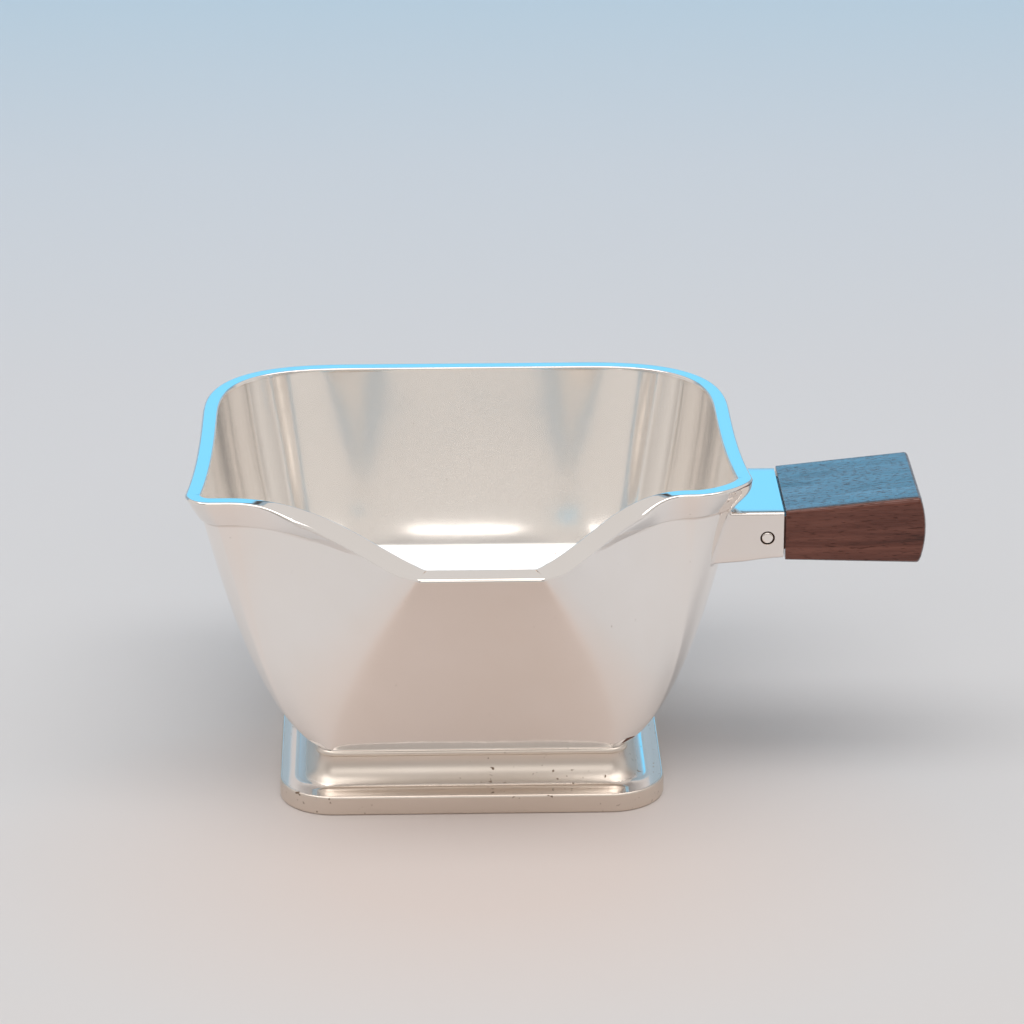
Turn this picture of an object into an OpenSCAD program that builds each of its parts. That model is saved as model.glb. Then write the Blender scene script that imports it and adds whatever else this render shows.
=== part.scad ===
// Square silver sauce boat with a pulled spout, a moulded rim, a spreading foot and a stub side handle.
// +Z is up, the spout points along -Y and the handle along +X; Z = 0 is the table, under the foot's middle.

/* [Bowl] */
// Height of the rim above the table
rim_z = 68; // [60:0.5:76]
// Half the width of the rim across its sides
rim_half_x = 58.8; // [54:0.2:62]
// Distance from the middle to the back of the rim
rim_back_y = 57.8; // [52:0.2:62]
// Distance from the middle to the front edge beside the spout, on the side away from the handle
shoulder_y = 31.3; // [29:0.1:33]
// How much further back the front edge lies on the handle's side
shoulder_skew = 2; // [0:0.1:4]
// Distance from the middle to the tip of the spout
spout_y = 62.2; // [56:0.2:68]
// Half the width of the spout's flat lip
lip_half_x = 12.7; // [10:0.1:15]
// How far the spout sits to the handle's side of the middle
spout_offset = 1.5; // [0:0.1:2]
// How far the rim dips at the lip
lip_dip = 4.6; // [3:0.1:7]
// How far the rim's flat top leans outwards where the spout sweeps back
lip_lean = 1.1; // [0:0.1:1.5]
// How far each front corner of the rim flares out past the sides
horn_flare = 1.8; // [0.5:0.1:2.5]
// Radius of the rim's front corner on the side away from the handle
horn_r = 5.5; // [4.5:0.1:8]
// Length, along the front, of the longer and sharper front corner on the handle's side
horn_long = 13; // [10:0.5:14]
// How far back that corner runs
horn_back = 10.5; // [9:0.5:12]
// Radius of the back corners of the rim
back_r = 34; // [26:0.5:38]
// Thickness of the bowl's wall
wall = 1; // [0.8:0.1:1.4]

/* [Rim moulding] */
// How far the moulding stands out from the wall at its top
moulding_out = 2.3; // [1.8:0.1:2.6]
// Height of the moulding along the sides and back
moulding_h = 6.4; // [5:0.1:7.5]
// Height of the moulding at the lip
moulding_lip_h = 2.4; // [1.8:0.1:2.8]
// Thickness of the moulding at its lower edge
moulding_foot_t = 0.5; // [0.3:0.05:0.7]

/* [Foot] */
// Half the width of the foot at the table
foot_half = 41.5; // [38:0.2:45]
// Radius of the foot's corners
foot_r = 12; // [11.5:0.1:13]
// Height of the straight band round the foot's edge
band_h = 4.3; // [3.5:0.1:5.5]
// Thickness of the straight band
band_t = 1.8; // [1.4:0.1:2.4]
// Width of the flat ledge on top of the foot, band included
ledge_w = 3.1; // [2.6:0.1:3.6]
// Half the width of the neck under the bowl
neck_half = 33; // [31:0.2:35]
// Height of the neck, where the bowl sits on the foot
neck_z = 11.5; // [10:0.1:13]
// Thickness of the foot's shell
foot_wall = 1.2; // [1:0.1:1.5]

/* [Handle] */
// Distance from the middle to the outer end of the silver socket
socket_end_x = 67.4; // [65:0.2:70]
// Width of the socket from front to back
socket_w = 28; // [24:0.5:30]
// Distance of the handle's centre line in front of the middle
handle_y = 6; // [3:0.5:8]
// Height of the socket's flat top above the table
socket_top_z = 60.2; // [58:0.1:61]
// Height of the socket at its outer end
socket_h = 10.4; // [9:0.1:12]
// Thickness of the socket's walls
socket_wall = 1.4; // [1:0.1:2]
// Length of the wooden grip outside the socket
grip_len = 30.4; // [26:0.1:36]
// How much taller the grip is above the socket's top at its free end
grip_rise = 3.1; // [1:0.1:4]
// How much the grip drops below the socket at its free end
grip_drop = 0.9; // [0:0.1:2]
// Rounding of the grip's long edges
grip_edge_r = 1.1; // [0.6:0.1:1.6]
// How far the grip stands proud of the socket at the joint
grip_proud = 0.4; // [0.1:0.1:0.8]
// How much the grip widens on each side towards its free end
grip_flare = 0.6; // [0:0.1:1.2]
// Radius of the cross pin
pin_r = 1.4; // [1:0.05:1.8]

/* [Hidden] */
$fn = 48;
silver = [0.86, 0.84, 0.81];
rosewood = [0.33, 0.16, 0.11];
// Space left for solder between two silver pieces
solder = 0.04;
// The moulding's section: how far it is rounded under at its foot, over which shares of its height, and the
// softened edge at its top
moulding_bead = 0.35;
bead_top = 0.9;
bead_low = 0.98;
moulding_edge = 0.3;
edge_share = 0.08;
// Radius of the wire round the neck
wire_r = 0.7;
// How far the neck lies inside the foot's edge, and the radius of its corners
neck_in = foot_half - neck_half;
neck_r = foot_r - neck_in;
// Shadow gap between the socket and the grip
grip_gap = 0.35;
// The grip's tenon inside the socket
tenon_x = 60;
tenon_w = socket_w - 2 * socket_wall;
tenon_h = socket_h - 2 * socket_wall;
tenon_z = socket_top_z - socket_wall - tenon_h;
// Place of the cross pin along the handle and above the table
pin_x = 63.9;
pin_z = 54.4;
// Straight steps along each stretch of half an outline
n_facet = 4;
n_sweep = 9;
n_horn = 5;
n_side = 7;
n_back_corner = 8;
n_back = 4;
// Rows from the neck up to the rim
n_rows = 14;
// Exponent of the superellipse that the back corners follow
back_power = 2.75;
// Length of the straight front edge between the spout's sweep and each front corner, handle's side first
shoulder_run = [1, 3];
// How strongly each front corner's curve holds to its two straight edges
horn_pull = [0.42, 0.55];
// Steps with which the cheek leaves the facet at the rim, the belly line and the low line
rim_lead = [12.5, 10];
belly_lead = [12, 10];
low_lead = [7, 2];
// How long each cheek keeps straight before it meets the shoulder or the side
rim_reach = [13.5, 19];
belly_reach = 20;
low_reach = 18;
// A circle's quarter as a cubic curve has handles of this share of its radius
quarter = 0.55;
// Where the cheek meets the side, in front of the middle
belly_side_y = 6;
low_side_y = 12;
// Half the width of the facet at the belly line and the low line
belly_facet = 20;
low_facet = 28;
// Shares of the way from neck to rim: width, front, back, height at the sides and height in front
belly_share = [0.767, 0.38, 0.86, 0.4, 0.575];
low_share = [0.504, 0.1, 0.66, 0.045, 0.257];
// Radius of the low line's back corners
low_back_r = 22;
// Share of the floor's thickness by which the inner low line is raised, at the sides and in front
low_lift = 0.8;
low_front_lift = 0.4;
// The socket's hidden root: how far it starts inside the rim, and how far and how fast it sweeps down
root_in = 8;
root_sweep = 2.6;
root_power = 1.6;
// How far the cutter that fits the socket to the wall reaches in behind the wall, and its first row
cut_in = 40;
cut_row = 5;

function smooth(s) = s * s * (3 - 2 * s);
function mix(a, b, s) = a + (b - a) * s;

function cubic(a, b, c, d, s) =
  pow(1 - s, 3) * a + 3 * pow(1 - s, 2) * s * b + 3 * (1 - s) * s * s * c + pow(s, 3) * d;

// The rim's cheek: it sweeps back from the lip, runs straight and turns the horn-shaped front corner,
// which is horn[0] long and runs back by horn[1]; side is 0 on the handle's side and 1 on the other
function horn_cheek(lip, half_x, shoulder, horn, side) =
  let (
    a = [lip, -spout_y],
    c = [half_x - horn[0], -shoulder],
    b = c - [shoulder_run[side], 0],
    d = [half_x, horn[1] - shoulder],
    pull = horn_pull[side])
  concat(
    [for (i = [0:n_sweep - 1]) cubic(a, a + rim_lead, b - [rim_reach[side], 0], b, i / n_sweep)],
    [for (i = [0:n_horn]) cubic(c, c + [pull * horn[0], 0], d - [0, pull * horn[1]], d, i / n_horn)]);

// A soft cheek: one curve from the facet's edge, leaving it by the step lead, to the side at y = -side_y
function soft_cheek(facet, front, half_x, side_y, lead, reach) =
  let (a = [facet, -front], b = [half_x, -side_y], last = n_sweep + n_horn)
  [for (i = [0:last]) cubic(a, a + lead, b - [0, reach], b, i / last)];

// Half an outline from the middle of the spout to the middle of the back, as [x, y, spout share].
// centre is where the spout's middle lies, and flare is how far the front corner stands out past the side
function half_outline(centre, cheek, half_x, flare, back, back_rad) =
  let (start_y = cheek[len(cheek) - 1][1], front_y = cheek[0][1], sweep_end_y = cheek[n_sweep][1])
  concat(
    [for (i = [0:n_facet - 1]) [mix(centre, cheek[0][0], i / n_facet), cheek[0][1], 1]],
    [for (p = cheek) [p[0], p[1], max(0, (p[1] - sweep_end_y) / (front_y - sweep_end_y))]],
    [for (i = [1:n_side - 1])
      let (s = i / n_side)
      [half_x + flare * pow(1 - s, 3), mix(start_y, back - back_rad, s), 0]],
    [for (i = [0:n_back_corner])
      let (a = 90 * i / n_back_corner, p = 2 / back_power)
      [half_x - back_rad + back_rad * pow(cos(a), p), back - back_rad + back_rad * pow(sin(a), p), 0]],
    [for (i = [1:n_back]) [(half_x - back_rad) * (1 - i / n_back), back, 0]]
  );

// The whole outline from its two halves, anticlockwise from above, starting at the middle of the spout
function whole(right, left) =
  concat(right, [for (i = [len(left) - 2:-1:1]) [-left[i][0], left[i][1], left[i][2]]]);

// Moves each point of a closed outline inwards, square to the line
function inset(line, d) =
  let (n = len(line))
  [for (i = [0:n - 1])
    let (a = line[(i + n - 1) % n], b = line[(i + 1) % n], t = [b[0] - a[0], b[1] - a[1]], l = norm(t))
    [line[i][0] - d * t[1] / l, line[i][1] + d * t[0] / l, line[i][2]]];

// A closed outline lifted to height z at the sides and back, and to z_front along the spout
function lifted(line, z, z_front) = [for (p = line) [p[0], p[1], mix(z, z_front, p[2])]];

// The rim's outer edge, and the bowl's outer face where it meets the rim
function rim_half(shift, shoulder, horn, side) = half_outline(shift,
  horn_cheek(lip_half_x + shift, rim_half_x + horn_flare, shoulder, horn, side),
  rim_half_x, horn_flare, rim_back_y, back_r);
rim_line = whole(
  rim_half(spout_offset, shoulder_y - shoulder_skew, [horn_long, horn_back], 0),
  rim_half(-spout_offset, shoulder_y, [horn_r, horn_r], 1));
wall_line = inset(rim_line, moulding_out);
// Two lines that pull the wall's curve outwards between the neck and the rim: a belly and a low one
function wall_half(shift, share, facet, side_y, lead, reach, corner_r) =
  let (half_x = mix(neck_half, rim_half_x, share[0]), front = mix(neck_half, spout_y, share[1]))
  half_outline(shift, soft_cheek(facet + shift, front, half_x, side_y, lead, reach),
    half_x, 0, mix(neck_half, rim_back_y, share[2]), corner_r);
function belly_half(shift) =
  wall_half(shift, belly_share, belly_facet, belly_side_y, belly_lead, belly_reach, back_r);
function low_half(shift) =
  wall_half(shift, low_share, low_facet, low_side_y, low_lead, low_reach, low_back_r);
belly_line = whole(belly_half(spout_offset), belly_half(-spout_offset));
low_line = whole(low_half(spout_offset), low_half(-spout_offset));
// The square line where the bowl meets its neck
neck_side = neck_half - neck_r;
neck_half_line = half_outline(0,
  soft_cheek(neck_side, neck_half, neck_half, neck_side, [quarter * neck_r, 0], quarter * neck_r),
  neck_half, 0, neck_half, neck_r);
neck_line = whole(neck_half_line, neck_half_line);
n_around = len(rim_line);

// The height at a share of the way from the neck up to the rim
function height_at(share) = mix(neck_z, rim_z, share);
// The four control lines of the bowl's wall, inset by d and raised by lift at the neck
function controls(d, lift) = [
  lifted(inset(neck_line, d), neck_z + lift, neck_z + lift),
  lifted(inset(low_line, d),
    height_at(low_share[3]) + low_lift * lift, height_at(low_share[4]) + low_front_lift * lift),
  lifted(inset(belly_line, d), height_at(belly_share[3]), height_at(belly_share[4])),
  lifted(inset(wall_line, d), rim_z, rim_z - lip_dip)
];
outer_controls = controls(0, 0);
inner_controls = controls(wall, wall);

function bezier(c, i, t) = cubic(c[0][i], c[1][i], c[2][i], c[3][i], t);
function wall_row(c, t) = [for (i = [0:n_around - 1]) bezier(c, i, t)];
// The share of the way up the wall at which it reaches height z at point i, found by halving
function share_at(c, i, z, lo = 0.3, hi = 1, left = 16) =
  left == 0 ? (lo + hi) / 2
  : let (m = (lo + hi) / 2)
    bezier(c, i, m)[2] > z ? share_at(c, i, z, lo, m, left - 1) : share_at(c, i, z, m, hi, left - 1);

// Triangles between rings of n points each; a loop also joins the last ring to the first
function band_faces(n_rings, n, loop) =
  [for (j = [0:n_rings - (loop ? 1 : 2)], i = [0:n - 1], half = [0, 1])
    let (next = (i + 1) % n, up = ((j + 1) % n_rings) * n, a = j * n + i, b = j * n + next, c = up + next)
    half == 0 ? [a, up + i, c] : [a, c, b]];

function middle(ring) = [for (k = [0:2]) [for (p = ring) p[k]] * [for (p = ring) 1] / len(ring)];

// A solid skin over open rings, each end closed by a fan round its middle, or over a closed loop of rings
module skin(rings, loop = false) {
  n = len(rings[0]);
  all = [for (ring = rings) each ring];
  last = (len(rings) - 1) * n;
  fans = [for (i = [0:n - 1], end = [0, 1])
    end == 0 ? [i, (i + 1) % n, len(all)] : [last + (i + 1) % n, last + i, len(all) + 1]];
  polyhedron(
    points = loop ? all : concat(all, [middle(rings[0]), middle(rings[len(rings) - 1])]),
    faces = concat(band_faces(len(rings), n, loop), loop ? [] : fans),
    convexity = 6);
}

// Sweeps a section round a rounded square; the section's X = 0 runs along the outer edge and inwards is -X
module square_frame(half, r) {
  for (q = [0:3])
    rotate(90 * q) {
      translate([half - r, half - r, 0])
        rotate_extrude(angle = 90)
          translate([r, 0])
            children();
      translate([half, half - r, 0])
        rotate([90, 0, 0])
          linear_extrude(2 * (half - r))
            children();
    }
}

// Raised bowl with its spout: an outer face, the cut top edge and an inner face down to a flat floor
module bowl_shell() {
  color(silver)
    skin(concat(
      [for (j = [0:n_rows]) wall_row(outer_controls, j / n_rows)],
      [for (j = [n_rows:-1:0]) wall_row(inner_controls, j / n_rows)]));
}

// Height of the rim moulding where the outline's spout share is s
function moulding_height(s) = mix(moulding_h, moulding_lip_h, smooth(s));

// One ring of the moulding's section: down is how far below the rim, out is how far off the wall
function moulding_ring(down, out) =
  [for (i = [0:n_around - 1])
    let (
      top = wall_line[i],
      lean = lip_lean * 4 * top[2] * (1 - top[2]) * out / moulding_out,
      drop = down * moulding_height(top[2]) + (1 - down) * lean,
      on_wall = bezier(outer_controls, i, share_at(outer_controls, i, outer_controls[3][i][2] - drop)),
      edge = rim_line[i],
      away = [edge[0] - top[0], edge[1] - top[1]] / moulding_out)
    [on_wall[0] + away[0] * out, on_wall[1] + away[1] * out, on_wall[2]]];

// Wedge-shaped moulding soldered round the rim: flat on top and drawn out to a horn at each front corner
module rim_moulding() {
  color(silver)
    skin([
      moulding_ring(1, solder),
      moulding_ring(bead_low, moulding_foot_t),
      moulding_ring(bead_top, moulding_foot_t + moulding_bead),
      moulding_ring(0.5, mix(moulding_foot_t + moulding_bead, moulding_out, 0.5)),
      moulding_ring(edge_share, moulding_out),
      moulding_ring(0, moulding_out - moulding_edge),
      moulding_ring(0, solder),
      moulding_ring(0.5, solder)
    ], loop = true);
}

// Thin round wire that covers the joint between the bowl and the foot
module neck_wire() {
  color(silver)
    square_frame(neck_half + wire_r, neck_r + wire_r)
      translate([-wire_r, neck_z - wire_r - solder])
        circle(wire_r);
}

// Spreading foot: a hollow shell that sweeps down in a cove from the neck to a flat ledge
module foot() {
  cove_r = neck_in - ledge_w;
  cove_z = band_h + cove_r;
  neck_top = neck_z - 2 * (wire_r + solder);
  reach = cove_r + foot_wall;
  color(silver)
    square_frame(foot_half, foot_r) {
      translate([-ledge_w, cove_z])
        intersection() {
          difference() {
            circle(reach);
            circle(cove_r);
          }
          translate([-reach, -reach])
            square(reach);
        }
      translate([-neck_in - foot_wall, cove_z])
        square([foot_wall, neck_top - cove_z]);
      translate([-ledge_w, band_h - foot_wall])
        square([ledge_w - band_t - solder, foot_wall]);
    }
}

// Straight band round the foot's edge, which stands on the table
module foot_band() {
  edge = 0.5;
  color(silver)
    square_frame(foot_half, foot_r)
      polygon([
        [-band_t, 0], [-edge, 0], [-0.3 * edge, 0.3 * edge], [0, edge],
        [0, band_h - edge], [-0.3 * edge, band_h - 0.3 * edge], [-edge, band_h], [-band_t, band_h]
      ]);
}

// The part of the bowl's wall that the socket meets, as a cutter that reaches in behind it
module wall_cutter() {
  first = n_facet + n_sweep;
  last = first + n_horn + n_side + 2;
  rows = [for (j = [cut_row:n_rows]) wall_row(outer_controls, j / n_rows)];
  inwards = [cut_in, 0, 0];
  skin([for (row = rows) concat(
    [for (i = [first:last]) row[i]],
    [row[last] - inwards, row[first] - inwards])]);
}

// Side view of the socket: flat on top, and swept down underneath towards the bowl
module socket_side() {
  root_x = rim_half_x - root_in;
  bottom_z = socket_top_z - socket_h;
  polygon(concat(
    [[root_x, socket_top_z], [socket_end_x, socket_top_z]],
    [for (s = [0:0.125:1]) [mix(socket_end_x, root_x, s), bottom_z - root_sweep * pow(s, root_power)]]));
}

// Silver socket: a box open at its outer end, fitted to the bowl's side, with a hole through for the pin
module handle_socket() {
  color(silver)
    difference() {
      translate([0, socket_w / 2 - handle_y, 0])
        rotate([90, 0, 0])
          linear_extrude(socket_w)
            socket_side();
      translate([tenon_x, -handle_y - tenon_w / 2, tenon_z])
        cube([socket_end_x, tenon_w, tenon_h]);
      pin_shape(pin_r, socket_w + 2);
      wall_cutter();
    }
}

// The grip's wooden body: rectangles with rounded edges that grow towards a slightly domed free end
module grip_body() {
  top_z = socket_top_z;
  bottom_z = socket_top_z - socket_h;
  stations = [0, 0.25, 0.5, 0.75, 0.97, 1];
  rings = [for (s = stations)
    let (
      end = s > 0.97 ? 1 : 0,
      x = socket_end_x + grip_gap + grip_len * s,
      up = top_z + grip_proud + grip_rise * s - end * grip_edge_r,
      down = bottom_z - grip_proud - grip_drop * s + end * grip_edge_r,
      half_w = socket_w / 2 + grip_proud + grip_flare * s - end * grip_edge_r,
      r = grip_edge_r)
    [for (q = [0:3], a = [0:30:90])
      let (
        cy = [1, -1, -1, 1][q] * (half_w - r),
        cz = [up - r, up - r, down + r, down + r][q],
        dir = [0, 90, 180, 270][q] + a)
      [x, -handle_y + cy + r * cos(dir), cz + r * sin(dir)]]];
  skin(rings);
}

// Wooden grip with the tenon that fills the socket, drilled for the pin
module grip() {
  color(rosewood)
    difference() {
      union() {
        grip_body();
        translate([tenon_x + solder, -handle_y - tenon_w / 2 + solder, tenon_z + solder])
          cube([socket_end_x + 2 - tenon_x, tenon_w - 2 * solder, tenon_h - 2 * solder]);
      }
      pin_shape(pin_r, socket_w + 2);
    }
}

// A cylinder along the handle's cross pin
module pin_shape(r, length) {
  translate([pin_x, -handle_y, pin_z])
    rotate([90, 0, 0])
      cylinder(r = r, h = length, center = true);
}

// Silver cross pin, filed flush with both faces of the socket
module handle_pin() {
  color(silver)
    pin_shape(pin_r - solder, socket_w);
}

bowl_shell();
rim_moulding();
neck_wire();
foot();
foot_band();
handle_socket();
grip();
handle_pin();
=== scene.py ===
"""Silver sauce boat with a rosewood side handle: the visible model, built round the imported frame.

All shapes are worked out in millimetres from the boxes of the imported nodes, and turned into metres when
a mesh is made. +Z is up, the spout points along -Y and the handle along +X.
"""
import math

import bmesh
import bpy
import numpy as np
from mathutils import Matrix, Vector
from mathutils.bvhtree import BVHTree


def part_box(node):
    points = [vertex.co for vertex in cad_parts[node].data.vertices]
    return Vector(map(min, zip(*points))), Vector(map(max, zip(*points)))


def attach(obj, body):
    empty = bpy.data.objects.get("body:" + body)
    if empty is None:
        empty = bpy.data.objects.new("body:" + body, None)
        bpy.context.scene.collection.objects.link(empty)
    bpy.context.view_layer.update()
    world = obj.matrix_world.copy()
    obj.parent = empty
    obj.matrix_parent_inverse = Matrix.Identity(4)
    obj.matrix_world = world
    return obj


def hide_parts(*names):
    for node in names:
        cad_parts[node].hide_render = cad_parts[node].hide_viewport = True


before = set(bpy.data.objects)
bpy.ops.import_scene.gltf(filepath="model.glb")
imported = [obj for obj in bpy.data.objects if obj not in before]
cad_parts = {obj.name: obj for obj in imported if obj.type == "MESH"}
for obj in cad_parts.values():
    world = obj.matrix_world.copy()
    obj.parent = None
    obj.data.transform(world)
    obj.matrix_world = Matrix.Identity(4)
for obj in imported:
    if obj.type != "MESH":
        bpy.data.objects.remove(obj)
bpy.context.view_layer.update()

MM = 0.001


def node_box(node):
    """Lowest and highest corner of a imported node, in millimetres."""
    low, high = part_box(node)
    return np.array(low) / MM, np.array(high) / MM


BOWL = node_box("bowl_shell")
RIM = node_box("rim_moulding")
BAND = node_box("foot_band")
FOOT = node_box("foot")
WIRE = node_box("neck_wire")
SOCKET = node_box("handle_socket")
GRIP = node_box("grip")
PIN = node_box("handle_pin")

# ---------------------------------------------------------------- sizes, in millimetres
WALL = 1.0                      # bowl wall
MOULDING_OUT = 2.3              # how far the moulding stands out at its top
MOULDING_H = 6.4                # its height along the sides and back
MOULDING_LIP_H = 2.4            # and at the lip
MOULDING_FOOT_T = 0.5           # its thickness at its lower edge
RIM_Z = float(RIM[1][2])
SPOUT_Y = -float(RIM[0][1])
BACK_Y = float(RIM[1][1])
HORN_FLARE = 1.8                # how far each front corner of the rim flares out past the sides
RIM_HALF_X = float(RIM[1][0]) - HORN_FLARE
SHOULDER_Y = 31.3               # front edge beside the spout, on the side away from the handle
SHOULDER_SKEW = 2.0             # how much further back it lies on the handle's side
LIP_HALF_X = 12.7               # half the width of the spout's flat lip
SPOUT_OFFSET = 1.5              # how far the spout sits to the handle's side of the middle
LIP_DIP = 4.6                   # how far the rim dips at the lip
LIP_LEAN = 2.1                  # how far the rim's top leans outwards where the spout sweeps back
HORNS = ((13.0, 10.5), (5.5, 5.5))      # each front corner: its length, and how far it runs back
HORN_PULL = (0.42, 0.55)        # how strongly each corner's curve holds to its two straight edges
HORN_BULGE = 0.75               # how much fuller the moulding is at the handle's side front corner
BACK_R = 34.0                   # reach of the round back corners
BACK_POWER = 2.75               # and how full they are, from 2 for a circle upwards
SHOULDER_RUN = (1.0, 3.0)       # straight run between the spout's sweep and each front corner
RIM_LEAD, BELLY_LEAD, LOW_LEAD = (12.5, 10), (12, 10), (7, 2)   # steps by which the sweeps leave the facet
RIM_REACH = (13.5, 19)          # pulls by which the sweeps reach their other ends
BELLY_REACH, LOW_REACH = 20, 18
BELLY_SIDE_Y, LOW_SIDE_Y = 6, 12
BELLY_FACET, LOW_FACET = 20, 28
# Side, front, back, height and front height of two control lines, as shares of the way from neck to rim.
BELLY_SHARE = (0.767, 0.38, 0.86, 0.4, 0.575)
LOW_SHARE = (0.504, 0.1, 0.66, 0.045, 0.257)
LOW_BACK_R = 22
LOW_LIFT, LOW_FRONT_LIFT = 0.8, 0.4
NECK_Z = float(BOWL[0][2])
NECK_HALF = 33.0
FOOT_HALF = float(BAND[1][0])
FOOT_R = 12.0
BAND_H = float(BAND[1][2])
BAND_T = 1.8
LEDGE_W = 3.1
FOOT_WALL = 1.2
WIRE_R = float(WIRE[1][2] - WIRE[0][2]) / 2
WIRE_Z = float(WIRE[1][2] + WIRE[0][2]) / 2
NECK_IN = FOOT_HALF - NECK_HALF
NECK_R = FOOT_R - NECK_IN
HANDLE_Y = float(SOCKET[0][1] + SOCKET[1][1]) / 2
SOCKET_HALF_W = float(SOCKET[1][1] - SOCKET[0][1]) / 2
SOCKET_END_X = float(SOCKET[1][0])
SOCKET_TOP_Z = float(SOCKET[1][2])
SOCKET_H = 10.4
SOCKET_WALL = 1.4
SOCKET_SWEEP = 2.6
GRIP_GAP = 0.35
GRIP_X = SOCKET_END_X + GRIP_GAP
GRIP_END_X = float(GRIP[1][0])
GRIP_RISE = 3.1
GRIP_DROP = 0.9
GRIP_PROUD = 0.4
GRIP_FLARE = 0.6
GRIP_EDGE_R = 1.1
GRIP_DOME = 0.25                # how far the middle of the free end stands out
GRIP_BULGE = 0.95               # how far its level middle line stands out before its top and bottom edges
PIN_X = float(PIN[0][0] + PIN[1][0]) / 2
PIN_Z = float(PIN[0][2] + PIN[1][2]) / 2
PIN_R = 1.22
BORE_R = 1.45

# ---------------------------------------------------------------- steps round and up the bowl
N_FACET = 14
N_SWEEP = 54
N_HORN = 24
N_SIDE = 34
N_CORNER = 48
N_BACK = 18
N_ROWS = 84
N_FLOOR = 25
N_PIN = 48


# ================================================================ outlines
def smooth(s):
    return s * s * (3 - 2 * s)


def mix(a, b, s):
    return a + (b - a) * s


def cubic(a, b, c, d, s):
    return (1 - s) ** 3 * a + 3 * (1 - s) ** 2 * s * b + 3 * (1 - s) * s ** 2 * c + s ** 3 * d


def horn_cheek(lip, half_x, shoulder, side):
    """The rim's cheek: a sweep back from the lip, a straight run and the horn-shaped front corner."""
    s = (np.arange(N_SWEEP) / N_SWEEP)[:, None]
    long, back = HORNS[side]
    pull = HORN_PULL[side]
    start = np.array([lip, -SPOUT_Y])
    corner = np.array([half_x - long, -shoulder])
    tip = np.array([half_x, back - shoulder])
    end = corner - np.array([SHOULDER_RUN[side], 0])
    sweep = cubic(start, start + np.array(RIM_LEAD), end - np.array([RIM_REACH[side], 0]), end, s)
    s = np.linspace(0, 1, N_HORN + 1)[:, None]
    horn = cubic(corner, corner + np.array([pull * long, 0]), tip - np.array([0, pull * back]), tip, s)
    return np.concatenate([sweep, horn])


def soft_cheek(facet, front, half_x, side_y, lead, reach):
    """One curve from the facet's edge, leaving it by the step lead, round to the side."""
    s = np.linspace(0, 1, N_SWEEP + N_HORN + 1)[:, None]
    a = np.array([facet, -front])
    b = np.array([half_x, -side_y])
    return cubic(a, a + np.array(lead), b - np.array([0, reach]), b, s)


def half_outline(centre, cheek, half_x, flare, back, back_r):
    """Half an outline from the middle of the spout to the middle of the back, as x, y and spout share."""
    s = (np.arange(N_FACET) / N_FACET)
    facet = np.stack([mix(centre, cheek[0, 0], s), np.full(N_FACET, cheek[0, 1]), np.ones(N_FACET)], 1)
    y = cheek[:, 1]
    share = np.maximum(0, (y - y[N_SWEEP]) / (y[0] - y[N_SWEEP]))
    cheek = np.column_stack([cheek, share])
    side_steps = 20
    s = np.arange(0, side_steps) / side_steps
    side = np.stack([half_x + flare * (1 - s) ** 3, mix(cheek[-1, 1], back - back_r, s), 0 * s], 1)
    corner_steps = 2000
    a = np.radians(np.linspace(0, 90, corner_steps))
    p = 2 / BACK_POWER
    cos, sin = np.maximum(np.cos(a), 0) ** p, np.maximum(np.sin(a), 0) ** p
    corner = np.stack([half_x - back_r + back_r * cos, back - back_r + back_r * sin, 0 * a], 1)
    rear = np.array([[0, back, 0]])
    dense_line = np.concatenate([side, corner, rear])
    step = np.linalg.norm(np.diff(dense_line[:, :2], axis=0), axis=1)
    along = np.concatenate([[0], np.cumsum(step)])
    rest = []
    ends = (along[side_steps], along[side_steps + corner_steps - 1], along[-1])
    start = 0.0
    for end, count in zip(ends, (N_SIDE, N_CORNER, N_BACK)):
        even = start + (end - start) * np.arange(1, count + 1) / count
        rest.append(np.stack([np.interp(even, along, dense_line[:, k]) for k in range(3)], 1))
        start = end
    return np.concatenate([facet, cheek] + rest)


def whole(right, left):
    """The closed outline from its two halves, anticlockwise from above, from the middle of the spout."""
    mirrored = left[-2:0:-1] * np.array([-1, 1, 1])
    return np.concatenate([right, mirrored])


def inset(line, d):
    """Moves each point of a closed outline inwards, square to the line."""
    t = np.roll(line[:, :2], -1, 0) - np.roll(line[:, :2], 1, 0)
    t /= np.linalg.norm(t, axis=1)[:, None]
    moved = line.copy()
    moved[:, 0] -= d * t[:, 1]
    moved[:, 1] += d * t[:, 0]
    return moved


def lifted(line, z, z_front):
    return np.column_stack([line[:, :2], mix(z, z_front, line[:, 2])])


def rim_half(shift, shoulder, side):
    cheek = horn_cheek(LIP_HALF_X + shift, RIM_HALF_X + HORN_FLARE, shoulder, side)
    return half_outline(shift, cheek, RIM_HALF_X, HORN_FLARE, BACK_Y, BACK_R)


def wall_half(shift, share, facet, side_y, lead, reach, corner_r):
    """Half of a control line between the neck and the rim."""
    half_x, front = mix(NECK_HALF, RIM_HALF_X, share[0]), mix(NECK_HALF, SPOUT_Y, share[1])
    cheek = soft_cheek(facet + shift, front, half_x, side_y, lead, reach)
    return half_outline(shift, cheek, half_x, 0, mix(NECK_HALF, BACK_Y, share[2]), corner_r)


def belly_half(shift):
    return wall_half(shift, BELLY_SHARE, BELLY_FACET, BELLY_SIDE_Y, BELLY_LEAD, BELLY_REACH, BACK_R)


def low_half(shift):
    return wall_half(shift, LOW_SHARE, LOW_FACET, LOW_SIDE_Y, LOW_LEAD, LOW_REACH, LOW_BACK_R)


def neck_half_line():
    side = NECK_HALF - NECK_R
    cheek = soft_cheek(side, NECK_HALF, NECK_HALF, side, [0.55 * NECK_R, 0], 0.55 * NECK_R)
    return half_outline(0, cheek, NECK_HALF, 0, NECK_HALF, NECK_R)


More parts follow.
